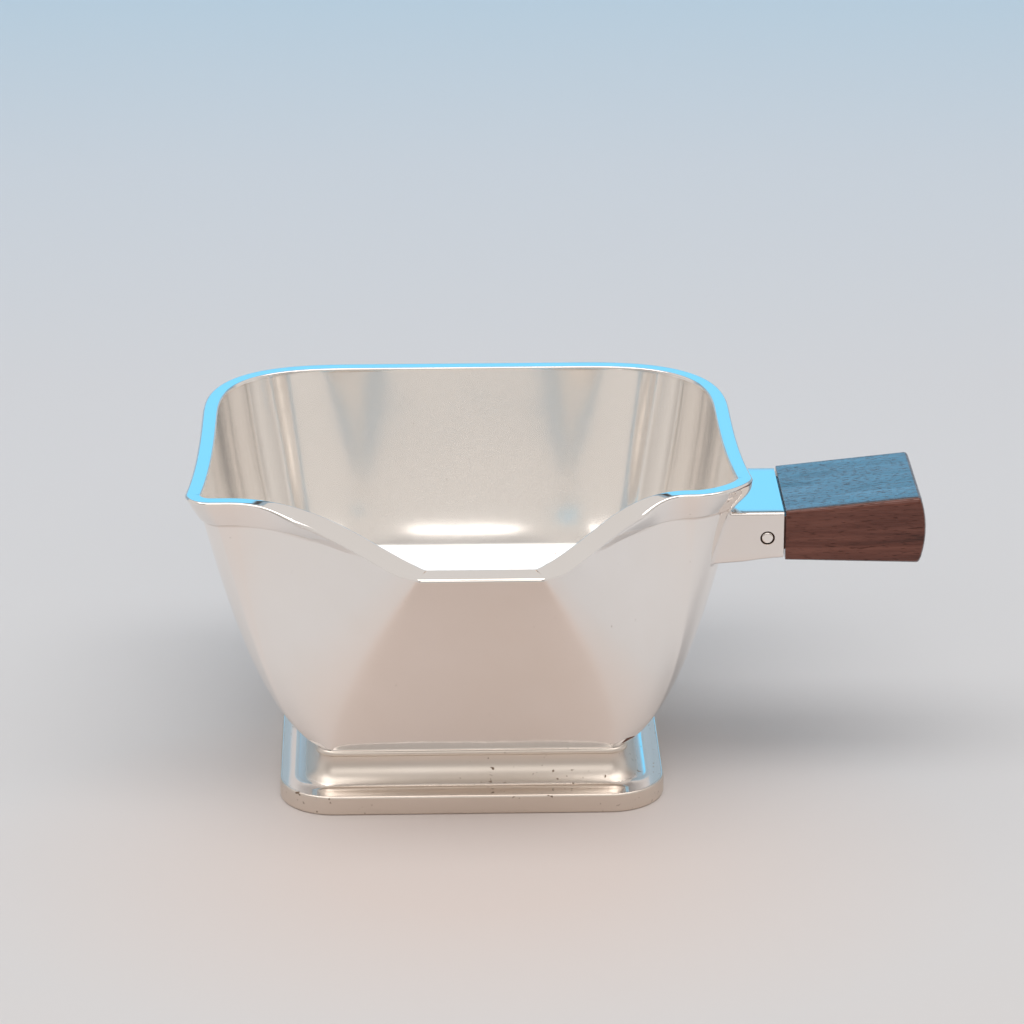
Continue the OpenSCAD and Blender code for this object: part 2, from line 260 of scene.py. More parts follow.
rim_line = whole(rim_half(SPOUT_OFFSET, SHOULDER_Y - SHOULDER_SKEW, 0),
                 rim_half(-SPOUT_OFFSET, SHOULDER_Y, 1))
wall_line = inset(rim_line, MOULDING_OUT)
belly_line = whole(belly_half(SPOUT_OFFSET), belly_half(-SPOUT_OFFSET))
low_line = whole(low_half(SPOUT_OFFSET), low_half(-SPOUT_OFFSET))
neck_line = whole(neck_half_line(), neck_half_line())
SHARE = wall_line[:, 2]
N_AROUND = len(rim_line)


def height_at(share):
    return mix(NECK_Z, RIM_Z, share)


def ease(value, low, high):
    """0 below low, 1 above high and a smooth step between."""
    return smooth(np.clip((value - low) / (high - low), 0, 1))


def controls(d, lift):
    """The four control lines of the bowl's wall, inset by d and raised by lift at the neck."""
    return [lifted(inset(neck_line, d), NECK_Z + lift, NECK_Z + lift),
            lifted(inset(low_line, d), height_at(LOW_SHARE[3]) + LOW_LIFT * lift,
                   height_at(LOW_SHARE[4]) + LOW_FRONT_LIFT * lift),
            lifted(inset(belly_line, d), height_at(BELLY_SHARE[3]), height_at(BELLY_SHARE[4])),
            lifted(inset(wall_line, d), RIM_Z, RIM_Z - LIP_DIP)]


def wall_grid(c, rows):
    """Rows of points up the wall; rows are shares of the way up."""
    t = np.asarray(rows)[:, None, None]
    return (1 - t) ** 3 * c[0] + 3 * (1 - t) ** 2 * t * c[1] + 3 * (1 - t) * t ** 2 * c[2] + t ** 3 * c[3]


def soften_crease(grid, least, most):
    """Rounds the upright creases at the two edges of the front facet, tightly at the lip and wider below."""
    rows = len(grid)
    right = N_FACET
    left = N_AROUND - N_FACET
    reach = 12
    for j in range(rows):
        depth = 1 - j / (rows - 1)
        passes = int(least + (most - least) * depth ** 1.3)
        ring = grid[j]
        for corner in (right, left):
            index = np.arange(corner - reach, corner + reach + 1)
            weight = np.cos(np.linspace(-math.pi / 2, math.pi / 2, len(index)))[1:-1, None]
            for _ in range(passes):
                part = ring[index]
                ring[index[1:-1]] += 0.5 * weight * ((part[2:] + part[:-2]) / 2 - part[1:-1])
    return grid


outer_controls = controls(0, 0)
inner_controls = controls(WALL, WALL)
dense = np.linspace(0, 1, 400)
outer_dense = soften_crease(wall_grid(outer_controls, dense), 0.6, 42)
inner_dense = soften_crease(wall_grid(inner_controls, dense), 0.6, 260)


def on_wall(grid, drop):
    """The wall's points at the given drops below its own top edge, one drop for each point round."""
    out = np.empty((N_AROUND, 3))
    start = len(grid) // 4
    for i in range(N_AROUND):
        column = grid[start:, i]
        z = grid[-1, i, 2] - drop[i]
        out[i] = [np.interp(z, column[:, 2], column[:, k]) for k in range(3)]
    return out


# ================================================================ meshes
def closed_grid(n_rings, n, first=0, loop=False):
    """Quads between rings of n points each."""
    faces = []
    for j in range(n_rings if loop else n_rings - 1):
        a = first + j * n
        b = first + ((j + 1) % n_rings) * n
        faces += [(a + i, a + (i + 1) % n, b + (i + 1) % n, b + i) for i in range(n)]
    return faces


def new_piece(name, points, faces, material, nodes, sharp=40):
    """Makes an object from points in millimetres, which stands for CAD nodes and rides on the body."""
    mesh = bpy.data.meshes.new(name)
    mesh.from_pydata([tuple(float(v) * MM for v in p) for p in points], [], [tuple(f) for f in faces])
    mesh.validate()
    mesh.update()
    bm = bmesh.new()
    bm.from_mesh(mesh)
    bmesh.ops.recalc_face_normals(bm, faces=bm.faces)
    bm.to_mesh(mesh)
    bm.free()
    mesh.polygons.foreach_set("use_smooth", [True] * len(mesh.polygons))
    mesh.set_sharp_from_angle(angle=math.radians(sharp))
    piece = bpy.data.objects.new(name, mesh)
    bpy.context.scene.collection.objects.link(piece)
    mesh.materials.append(material)
    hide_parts(*nodes)
    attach(piece, "root")
    return piece


def paint(piece, name, values):
    """Stores one number for each vertex, which the piece's material reads by this name."""
    stored = piece.data.attributes.new(name, "FLOAT", "POINT")
    stored.data.foreach_set("value", values)


def cap(faces, points, ring_start, n, centre, upwards):
    """Closes a ring with a fan round a middle point."""
    points.append(centre)
    c = len(points) - 1
    for i in range(n):
        a, b = ring_start + i, ring_start + (i + 1) % n
        faces.append((a, b, c) if upwards else (b, a, c))


# ================================================================ materials
class Graph:
    """A small helper that adds nodes to a material and joins them."""

    def __init__(self, name):
        self.material = bpy.data.materials.new(name)
        self.material.use_nodes = True
        self.tree = self.material.node_tree
        self.shader = self.tree.nodes["Principled BSDF"]

    def add(self, kind, **settings):
        node = self.tree.nodes.new("ShaderNode" + kind)
        for key, value in settings.items():
            setattr(node, key, value)
        return node

    def link(self, a, b):
        self.tree.links.new(a, b)

    def place(self, scale):
        """Object coordinates in metres, scaled along each axis."""
        coord = self.add("TexCoord")
        mapping = self.add("Mapping")
        mapping.inputs["Scale"].default_value = scale
        self.link(coord.outputs["Object"], mapping.inputs["Vector"])
        return mapping.outputs["Vector"]

    def noise(self, vector, scale, detail=2.0, rough=0.5, distortion=0.0):
        node = self.add("TexNoise")
        node.inputs["Scale"].default_value = scale
        node.inputs["Detail"].default_value = detail
        node.inputs["Roughness"].default_value = rough
        node.inputs["Distortion"].default_value = distortion
        self.link(vector, node.inputs["Vector"])
        return node.outputs["Fac"]

    def ramp(self, value, stops):
        node = self.add("ValToRGB")
        points = node.color_ramp.elements
        while len(points) < len(stops):
            points.new(0.5)
        for point, (position, colour) in zip(points, stops):
            point.position = position
            point.color = (*colour, 1) if len(colour) == 3 else colour
        self.link(value, node.inputs["Fac"])
        return node.outputs["Color"]

    def span(self, value, from_low, from_high, to_low=0.0, to_high=1.0):
        node = self.add("MapRange")
        node.inputs["From Min"].default_value = from_low
        node.inputs["From Max"].default_value = from_high
        node.inputs["To Min"].default_value = to_low
        node.inputs["To Max"].default_value = to_high
        self.link(value, node.inputs["Value"])
        return node.outputs["Result"]

    def maths(self, operation, a, b):
        node = self.add("Math", operation=operation)
        for socket, value in zip(node.inputs, (a, b)):
            if isinstance(value, (int, float)):
                socket.default_value = value
            else:
                self.link(value, socket)
        return node.outputs["Value"]

    def blend(self, factor, a, b):
        node = self.add("Mix", data_type="RGBA")
        self.link(factor, node.inputs["Factor"])
        colour_a, colour_b = [s for s in node.inputs if s.type == "RGBA"]
        for socket, value in ((colour_a, a), (colour_b, b)):
            if isinstance(value, tuple):
                socket.default_value = (*value, 1)
            else:
                self.link(value, socket)
        return [s for s in node.outputs if s.type == "RGBA"][0]

    def bump(self, height, distance, strength=1.0, normal=None):
        node = self.add("Bump")
        node.inputs["Distance"].default_value = distance
        node.inputs["Strength"].default_value = strength
        self.link(height, node.inputs["Height"])
        if normal is not None:
            self.link(normal, node.inputs["Normal"])
        return node.outputs["Normal"]


SILVER_TINT = (0.965, 0.915, 0.875)
SILVER_INSIDE = (0.975, 0.935, 0.895)
# brown tarnish along the joints, which also paints the shade in the grooves under the moulding and at the
# foot's edge
SEAM_TARNISH_AND_SHADE = (0.46, 0.30, 0.22)
TARNISH = (0.30, 0.22, 0.16)
PORE_DARK = (0.02, 0.008, 0.006)


def silver(name, wave=1.0, speck=0.0, tint=SILVER_TINT, dull=0.0, inner_bloom=0.0):
    """Polished sterling: soft waves left by hammer and buff, hairline scratches and specks of tarnish."""
    g = Graph(name)
    plain = g.place((1, 1, 1))
    waves = g.noise(plain, 55, 1.5, 0.4)
    fine = g.noise(plain, 420, 2, 0.5)
    hair_a = g.noise(g.place((2400, 120, 900)), 1.0, 2, 0.6)
    hair_b = g.noise(g.place((160, 2100, 1300)), 1.0, 2, 0.6)
    clouds = g.noise(plain, 30, 3, 0.6)
    dots = g.noise(plain, 900, 1.0, 0.4)
    region = g.noise(plain, 70, 2, 0.5)

    normal = g.bump(waves, 0.00006 * wave)
    normal = g.bump(fine, 0.0000012, 1.0, normal)
    normal = g.bump(g.maths("ADD", hair_a, hair_b), 0.0000009, 1.0, normal)
    g.link(normal, g.shader.inputs["Normal"])

    mark = g.maths("MULTIPLY", g.span(dots, 0.80 - 0.06 * speck, 0.85 - 0.06 * speck),
                   g.span(region, 0.50, 0.62))
    inside = g.add("Attribute", attribute_name="inside").outputs["Fac"]
    # the seam mask paints brown tarnish along the joints and, with it, the shade that falls in their grooves
    seam_tarnish_shade = g.add("Attribute", attribute_name="seam_tarnish_shade").outputs["Fac"]
    seam_tarnish_shade = g.maths("MULTIPLY", g.span(seam_tarnish_shade, 0.3, 0.9, 0.0, 0.8), g.span(clouds, 0.3, 0.6, 0.35, 1.0))
    film = g.blend(g.span(clouds, 0.35, 0.7), tint, tuple(t * f for t, f in zip(tint, (0.975, 0.965, 0.95))))
    upright = g.add("SeparateXYZ")
    g.link(g.add("NewGeometry").outputs["Normal"], upright.inputs["Vector"])
    film = g.blend(g.span(upright.outputs["Z"], 0.85, 0.98), film, SILVER_TINT)
    film = g.blend(inside, film, SILVER_INSIDE)
    film = g.blend(seam_tarnish_shade, film, SEAM_TARNISH_AND_SHADE)
    g.link(g.blend(mark, film, TARNISH), g.shader.inputs["Base Color"])
    sides = g.span(upright.outputs["Z"], 0.98, 0.85, 0.0, dull)
    haze = g.maths("ADD", g.span(clouds, 0.3, 0.75, 0.045, 0.085), sides)
    haze = g.maths("ADD", haze, g.maths("MULTIPLY", inside, 0.045))
    haze = g.maths("ADD", haze, g.maths("MULTIPLY", seam_tarnish_shade, 0.2))
    g.link(g.maths("ADD", haze, g.maths("MULTIPLY", mark, 0.3)), g.shader.inputs["Roughness"])
    g.shader.inputs["Metallic"].default_value = 1.0
    if inner_bloom:
        g.link(g.span(inside, 0.0, 1.0, 1.0, 1.0 - inner_bloom), g.shader.inputs["Metallic"])
    return g.material


def rosewood():
    """Oiled dark rosewood: grain along the grip, darker streaks and short open pores."""
    g = Graph("rosewood_oiled")
    warp = g.noise(g.place((14, 60, 60)), 1.0, 2, 0.5)
    grain_at = g.place((22, 330, 330))
    grain = g.noise(grain_at, 1.0, 4, 0.62, 0.9)
    streak = g.noise(g.place((9, 150, 130)), 1.0, 3, 0.55, 0.6)
    fibre = g.noise(g.place((120, 2600, 2600)), 1.0, 2, 0.6)
    pores = g.noise(g.place((520, 4600, 4600)), 1.0, 1, 0.3)

    tone = g.maths("ADD", g.maths("MULTIPLY", grain, 0.55), g.maths("MULTIPLY", streak, 0.45))
    tone = g.maths("ADD", tone, g.maths("MULTIPLY", g.maths("SUBTRACT", warp, 0.5), 0.25))
    colour = g.ramp(tone, [(0.32, (0.050, 0.014, 0.009)), (0.46, (0.120, 0.035, 0.022)),
                           (0.56, (0.170, 0.054, 0.034)), (0.70, (0.240, 0.082, 0.054))])
    colour = g.blend(g.span(fibre, 0.45, 0.8, 0.0, 0.35), colour, (0.20, 0.065, 0.042))
    pore = g.span(pores, 0.60, 0.70)
    colour = g.blend(g.maths("MULTIPLY", pore, 0.5), colour, PORE_DARK)
    facing = g.add("LayerWeight")
    facing.inputs["Blend"].default_value = 0.5
    glance = g.span(facing.outputs["Facing"], 0.30, 0.55)
    # painted shade: the wood's colour is darkened where it is seen at a glancing angle, chiefly on its top
    colour = g.blend(g.maths("MULTIPLY", glance, 0.55), colour, (0.01, 0.012, 0.014))
    g.link(colour, g.shader.inputs["Base Color"])
    g.link(g.span(fibre, 0.3, 0.75, 0.24, 0.38), g.shader.inputs["Roughness"])
    depth = g.maths("SUBTRACT", g.maths("MULTIPLY", fibre, 0.4), pore)
    normal = g.bump(depth, 0.00004, 0.6)
    g.link(normal, g.shader.inputs["Normal"])
    g.shader.inputs["IOR"].default_value = 1.35
    coat = g.maths("MULTIPLY", g.span(glance, 0.0, 1.0, 0.10, 1.0), g.span(pore, 0.0, 1.0, 1.0, 0.35))
    coat = g.maths("MULTIPLY", coat, g.span(grain, 0.35, 0.65, 0.72, 1.0))
    g.link(coat, g.shader.inputs["Coat Weight"])
    g.shader.inputs["Coat Roughness"].default_value = 0.06
    g.shader.inputs["Coat IOR"].default_value = 3.8
    g.shader.inputs["Specular IOR Level"].default_value = 0.2
    g.link(g.bump(depth, 0.00002, 0.35), g.shader.inputs["Coat Normal"])
    return g.material


# ================================================================ pieces
def make_bowl(material):
    """Raised bowl: outer face, the cut edge under the moulding, inner face and a softly rounded floor."""
    rows = np.linspace(0, 1, N_ROWS + 1) ** 0.9
    pick = np.round(rows * (len(dense) - 1)).astype(int)
    outer = [outer_dense[j] for j in pick]
    edge_drop = 0.35 + 0.45 * lean(SHARE)
    outer[-1] = on_wall(outer_dense, edge_drop)
    inner_top = on_wall(inner_dense, edge_drop)
    floor_z = NECK_Z + WALL
    inner = [inner_dense[j] for j in pick[:-1]] + [inner_top]
    centre = np.array([0, 0, floor_z])
    floor = [centre + (inner[0] - centre) * s for s in np.linspace(0.04, 1, N_FLOOR + 1)[:-1]]
    inside = round_floor(np.stack(floor + inner))
    points = [p for ring in outer for p in ring]
    faces = closed_grid(len(outer), N_AROUND)
    start = len(points)
    flipped = inside[::-1]
    points += [p for ring in flipped for p in ring]
    faces += closed_grid(len(flipped), N_AROUND, start)
    last_outer = (len(outer) - 1) * N_AROUND
    faces += [(last_outer + i, last_outer + (i + 1) % N_AROUND, start + (i + 1) % N_AROUND, start + i)
              for i in range(N_AROUND)]
    cap(faces, points, start + (len(flipped) - 1) * N_AROUND, N_AROUND, inside[0].mean(0), True)
    cap(faces, points, 0, N_AROUND, np.array([0, 0, NECK_Z]), False)
    piece = new_piece("bowl", points, faces, material, ["bowl_shell"])
    paint(piece, "inside", [float(i >= start) for i in range(len(points))])
    edge_z = outer_dense[-1, :, 2] - mix(MOULDING_H, MOULDING_LIP_H, smooth(SHARE))
    # painted shade and tarnish: a brown band on the bowl just under the moulding's lower edge
    far, seam_strength, seam_width = 9.0, 0.75, 0.5
    below = [edge_z[i % N_AROUND] - p[2] if i < start else far for i, p in enumerate(points)]
    paint(piece, "seam_tarnish_shade", [seam_strength * math.exp(-(d / seam_width) ** 2) for d in below])
    return piece


def round_floor(inside):
    """Rounds the crease where the inner wall meets the floor, by evening out the heights of its points."""
    low_part, passes = 62, 60
    for _ in range(passes):
        part = inside[:low_part]
        level = (part[2:] + part[:-2]) / 2 - part[1:-1]
        part[1:-1] += 0.5 * level * np.array([0.0, 0.0, 1.0])
    return inside


def lean(share):
    """How far the rim's outer edge lies below its inner edge, by spout share."""
    return LIP_LEAN * ease(share, 0.0, 0.16) * (1 - 0.45 * ease(share, 0.85, 1.0))


def make_rim(material):
    """Moulding round the rim, filed flush with the bowl's inner face, with softened edges."""
    height = mix(MOULDING_H, MOULDING_LIP_H, smooth(SHARE))
    away = (rim_line[:, :2] - wall_line[:, :2]) / MOULDING_OUT
    away = np.column_stack([away, np.zeros(N_AROUND)])
    down = np.array([0, 0, -1.0])
    top_in = inner_dense[-1]
    width = WALL + MOULDING_OUT
    inner_r, outer_r = 0.35, 0.45
    into_wall = 0.2
    tilt = lean(SHARE)

    def top_at(out, drop):
        """A point on the top, out from the inner edge, with the lip's tilt added."""
        fall = tilt * np.clip(out / width, 0, 1)
        return top_in + away * out + down * (drop + fall)[:, None]

    rings = [on_wall(inner_dense, np.full(N_AROUND, 0.9)) - away * 0.008,
             on_wall(inner_dense, np.full(N_AROUND, inner_r + 0.12)) - away * 0.008]
    for a in np.radians(np.linspace(0, 90, 7)):
        rings.append(top_at(inner_r * (1 - math.cos(a)), inner_r * (1 - math.sin(a))))
    for s in np.linspace(0, 1, 7)[1:-1]:
        rings.append(top_at(mix(inner_r, width - outer_r, s), 0))
    for a in np.radians(np.linspace(0, 90, 8)):
        rings.append(top_at(width - outer_r + outer_r * math.sin(a), outer_r * (1 - math.cos(a))))
    first = N_FACET + N_SWEEP + N_HORN // 2
    horn = np.zeros(N_AROUND)
    horn[first:first + N_HORN] = np.sin(np.linspace(0, math.pi, N_HORN))
    foot_out = MOULDING_FOOT_T + 0.35
    fullness = 0.10 + HORN_BULGE * horn
    for share in (0.16, 0.28, 0.4, 0.52, 0.64, 0.74, 0.82, 0.88):
        way = (share - 0.08) / 0.82
        out = mix(MOULDING_OUT, foot_out, way) + fullness * math.sin(math.pi * way)
        rings.append(on_wall(outer_dense, height * share + tilt * (1 - share)) + away * out[:, None])
    for a in np.radians(np.linspace(15, 90, 6)):
        share = 0.90 + 0.09 * math.sin(a)
        rings.append(on_wall(outer_dense, height * share) + away * (foot_out * (0.25 + 0.75 * math.cos(a))))
    rings.append(on_wall(outer_dense, height) + away * 0.02)
    rings.append(on_wall(outer_dense, height * 1.01) - away * into_wall)
    rings.append(on_wall(outer_dense, height * 0.5) - away * into_wall)
    rings.append(on_wall(outer_dense, np.full(N_AROUND, 0.9)) - away * 0.5)
    points = [p for ring in rings for p in ring]
    faces = closed_grid(len(rings), N_AROUND, loop=True)
    piece = new_piece("rim", points, faces, material, ["rim_moulding"], 55)
    # painted shade and tarnish in the groove where the moulding's lower edge meets the bowl
    seam_first, seam_end = len(rings) - 6, len(rings) - 3
    paint(piece, "seam_tarnish_shade", [float(seam_first <= i // N_AROUND < seam_end) for i in range(len(points))])
    return piece


def square_line(half, r, n_side=20, n_corner=22):
    """A rounded square, anticlockwise, as points and the outward direction at each."""
    points, out = [], []
    for q in range(4):
        turn = math.radians(90 * q)
        cos, sin = math.cos(turn), math.sin(turn)
        local = []
        for i in range(n_side):
            local.append(((half, mix(-(half - r), half - r, i / n_side)), (1.0, 0.0)))
        for i in range(n_corner):
            a = math.radians(90 * i / n_corner)
            u, v = math.cos(a), math.sin(a)
            local.append(((half - r + r * u, half - r + r * v), (u, v)))
        for (x, y), (u, v) in local:
            points.append((x * cos - y * sin, x * sin + y * cos, 0))
            out.append((u * cos - v * sin, u * sin + v * cos, 0))
    return np.array(points), np.array(out)


def swept(name, half, r, profile, material, nodes, sharp=40):
    """Sweeps a closed profile of (out, z) points round a rounded square."""
    line, out = square_line(half, r)
    up = np.array([0, 0, 1.0])
    rings = [line + out * o + up * z for o, z in profile]
    points = [p for ring in rings for p in ring]
    faces = closed_grid(len(rings), len(line), loop=True)
    return new_piece(name, points, faces, material, nodes, sharp)


def arc(cx, cz, r, start, end, n):
    return [(cx + r * math.cos(math.radians(a)), cz + r * math.sin(math.radians(a)))
            for a in np.linspace(start, end, n)]


def make_foot(material):
    """Hollow spreading foot: ledge, cove and neck, with the thickness of its sheet."""
    edge = 0.45
    cove_r = NECK_IN - LEDGE_W
    cove_z = BAND_H + cove_r
    neck_top = float(FOOT[1][2])
    profile = [(-edge, BAND_H - 0.3), (-edge, BAND_H)]
    profile += [(-o, BAND_H) for o in np.linspace(edge + 0.3, LEDGE_W - 0.2, 5)]
    profile += arc(-LEDGE_W, cove_z, cove_r, -90, -180, 26)
    profile += [(-NECK_IN, neck_top), (-NECK_IN - FOOT_WALL, neck_top)]
    profile += arc(-LEDGE_W, cove_z, cove_r + FOOT_WALL, -180, -90, 14)
    profile += [(-BAND_T - 0.02, BAND_H - FOOT_WALL), (-BAND_T - 0.02, BAND_H - 0.3)]
    piece = swept("foot_cove", FOOT_HALF, FOOT_R, profile, material, ["foot"])
    n = len(piece.data.vertices) // len(profile)
    # painted shade and tarnish along the foot's outer edge, where it meets the band
    ring_seam = [1.0, 0.7] + [0.0] * (len(profile) - 2)
    paint(piece, "seam_tarnish_shade", [ring_seam[i // n] for i in range(len(piece.data.vertices))])
    return piece


def make_band(material):
    """Straight band that the boat stands on, with worn, rounded edges."""
    top_r, low_r = 0.45, 0.5
    profile = [(-BAND_T, 0), (-BAND_T * 0.6, 0)]
    profile += arc(-low_r, low_r, low_r, -90, 0, 8)
    profile += [(0, mix(low_r, BAND_H - top_r, s)) for s in (0.25, 0.5, 0.75)]
    profile += arc(-top_r, BAND_H - top_r, top_r, 0, 88, 9)
    profile += [(-top_r - 0.05, BAND_H - 0.015), (-BAND_T, BAND_H - 0.015)]
    return swept("foot_rim_band", FOOT_HALF, FOOT_R, profile, material, ["foot_band"])


def make_wire(material):
    """Round wire at the neck."""
    r = WIRE_R
    profile = arc(0, WIRE_Z, r, 0, 360, 21)[:-1]
    return swept("neck_collar", NECK_HALF, NECK_R, profile, material, ["neck_wire"])


def rounded_box_ring(cy, cz, half_w, half_h, r, n_flat=6, n_round=7):
    """A rounded rectangle in Y and Z, anticlockwise seen from +X, as points and outward directions."""
    corners = [(1, 1), (-1, 1), (-1, -1), (1, -1)]
    ring, out = [], []
    for q, (sy, sz) in enumerate(corners):
        start = 90 * q
        for a in np.radians(np.linspace(start, start + 90, n_round)):
            ring.append((cy + sy * (half_w - r) + r * math.cos(a), cz + sz * (half_h - r) + r * math.sin(a)))
            out.append((math.cos(a), math.sin(a)))
        ny, nz = corners[(q + 1) % 4]
        a_end = math.radians(start + 90)
        from_y = cy + sy * (half_w - r) + r * math.cos(a_end)
        from_z = cz + sz * (half_h - r) + r * math.sin(a_end)
        to_y = cy + ny * (half_w - r) + r * math.cos(a_end)
        to_z = cz + nz * (half_h - r) + r * math.sin(a_end)
        for s in np.arange(1, n_flat) / n_flat:
            ring.append((mix(from_y, to_y, s), mix(from_z, to_z, s)))
            out.append((math.cos(a_end), math.sin(a_end)))
    return np.array(ring), np.array(out)


def wall_finder(bowl):
    """A function that finds how far out the bowl's side lies at a given y and z, all in millimetres."""
    corners = [v.co for v in bowl.data.vertices]
    tree = BVHTree.FromPolygons(corners, [p.vertices[:] for p in bowl.data.polygons])

    def find(y, z):
        hit = tree.ray_cast(Vector((0.2, y * MM, z * MM)), Vector((-1, 0, 0)))[0]
        return hit.x / MM
    return find


def make_socket(material, bowl):
    """Socket: a box open at its outer end, its root fitted to the bowl's side with a fillet of solder."""
    find = wall_finder(bowl)
    root_x = RIM_HALF_X - 8
    edge_r = 0.55
    base_z = SOCKET_TOP_Z - SOCKET_H

    def section(x, r, grow=0.0):
        s = np.clip((SOCKET_END_X - x) / (SOCKET_END_X - root_x), 0, 1)
        low = base_z - SOCKET_SWEEP * s ** 1.6
        return rounded_box_ring(HANDLE_Y, (SOCKET_TOP_Z + low) / 2, SOCKET_HALF_W + grow,
                                (SOCKET_TOP_Z - low) / 2 + grow, r)[0]

    rings = []
    fillet = 0.7
    fillet_x = 56.5
    body_x = 59.0
    tenon_hole = 7.0
    for depth in (-0.35, 0.0, 0.12, 0.28, 0.48, 0.7):
        d = max(depth, 0)
        grow = fillet - math.sqrt(max(0, fillet ** 2 - (fillet - d) ** 2))
        flat = section(fillet_x, edge_r + grow, grow)
        rings.append([(find(y, z) + depth, y, z) for y, z in flat])
    start = np.array(rings[-1])
    for x in np.linspace(body_x, SOCKET_END_X - 0.3, 12):
        flat = section(x, edge_r)
        rings.append([(max(x, start[i, 0] + 0.2), y, z) for i, (y, z) in enumerate(flat)])
    end_r = 0.06
    for a in np.radians((25, 50, 90)):
        cut = end_r * (1 - math.cos(a))
        flat = section(SOCKET_END_X, edge_r, -cut)
        rings.append([(SOCKET_END_X - end_r + end_r * math.sin(a), y, z) for y, z in flat])
    flat = section(SOCKET_END_X, 0.4, -SOCKET_WALL)
    rings.append([(SOCKET_END_X, y, z) for y, z in flat])
    rings.append([(SOCKET_END_X - tenon_hole, y, z) for y, z in flat])
    n = len(rings[0])
    points = [np.array(p) for ring in rings for p in ring]
    faces = closed_grid(len(rings), n)
    cap(faces, points, (len(rings) - 1) * n, n, np.mean(points[-n:], 0), True)
    cap(faces, points, 0, n, np.mean(points[:n], 0), False)
    piece = new_piece("socket", points, faces, material, ["handle_socket"], 35)
    bore(piece, BORE_R, 0.25)
    return piece


def bore(piece, r, bevel):
    """Cuts the cross pin's hole through the socket, with a small chamfer at each face."""
    n = N_PIN
    half = SOCKET_HALF_W
    stations = [(-half - 1, r + bevel), (-half, r + bevel * 0.5), (-half + bevel, r),
                (half - bevel, r), (half, r + bevel * 0.5), (half + 1, r + bevel)]
    points = []
    for y, radius in stations:
        for i in range(n):
            a = 2 * math.pi * i / n
            x, z = PIN_X + radius * math.cos(a), PIN_Z + radius * math.sin(a)
            points.append((x * MM, (HANDLE_Y + y) * MM, z * MM))
    faces = closed_grid(len(stations), n)
    faces.append(tuple(range(n))[::-1])
    last = (len(stations) - 1) * n
    faces.append(tuple(range(last, last + n)))
    mesh = bpy.data.meshes.new("bore_cutter")
    mesh.from_pydata(points, [], faces)
    bm = bmesh.new()
    bm.from_mesh(mesh)
    bmesh.ops.recalc_face_normals(bm, faces=bm.faces)
    bm.to_mesh(mesh)
    bm.free()
    cutter = bpy.data.objects.new("bore_cutter", mesh)
    bpy.context.scene.collection.objects.link(cutter)
    cut = piece.modifiers.new("bore", "BOOLEAN")
    cut.operation = "DIFFERENCE"
    cut.solver = "EXACT"
    cut.object = cutter
    graph = bpy.context.evaluated_depsgraph_get()
    result = bpy.data.meshes.new_from_object(piece.evaluated_get(graph))
    piece.modifiers.clear()
    piece.data = result
    result.polygons.foreach_set("use_smooth", [True] * len(result.polygons))
    result.set_sharp_from_angle(angle=math.radians(30))
    bpy.data.objects.remove(cutter)


def make_pin(material):
    """Cross pin with slightly domed, burnished ends."""
    n = N_PIN
    half = SOCKET_HALF_W
    profile = [(0.0, half - 0.02), (0.45, half - 0.03), (0.9, half - 0.06), (PIN_R - 0.12, half - 0.11),
               (PIN_R - 0.03, half - 0.2), (PIN_R, half - 0.34)]
    ends = [(-y, r) for r, y in profile] + [(y, r) for r, y in reversed(profile)]
    points = []
    rings = [(y, r) for y, r in ends if r > 0]
    for y, r in rings:
        for i in range(n):
            a = 2 * math.pi * i / n
            points.append(np.array([PIN_X + r * math.cos(a), HANDLE_Y + y, PIN_Z + r * math.sin(a)]))
    faces = closed_grid(len(rings), n)
    cap(faces, points, 0, n, np.array([PIN_X, HANDLE_Y - profile[0][1], PIN_Z]), False)
    cap(faces, points, (len(rings) - 1) * n, n, np.array([PIN_X, HANDLE_Y + profile[0][1], PIN_Z]), True)
    return new_piece("cross_pin", points, faces, material, ["handle_pin"])


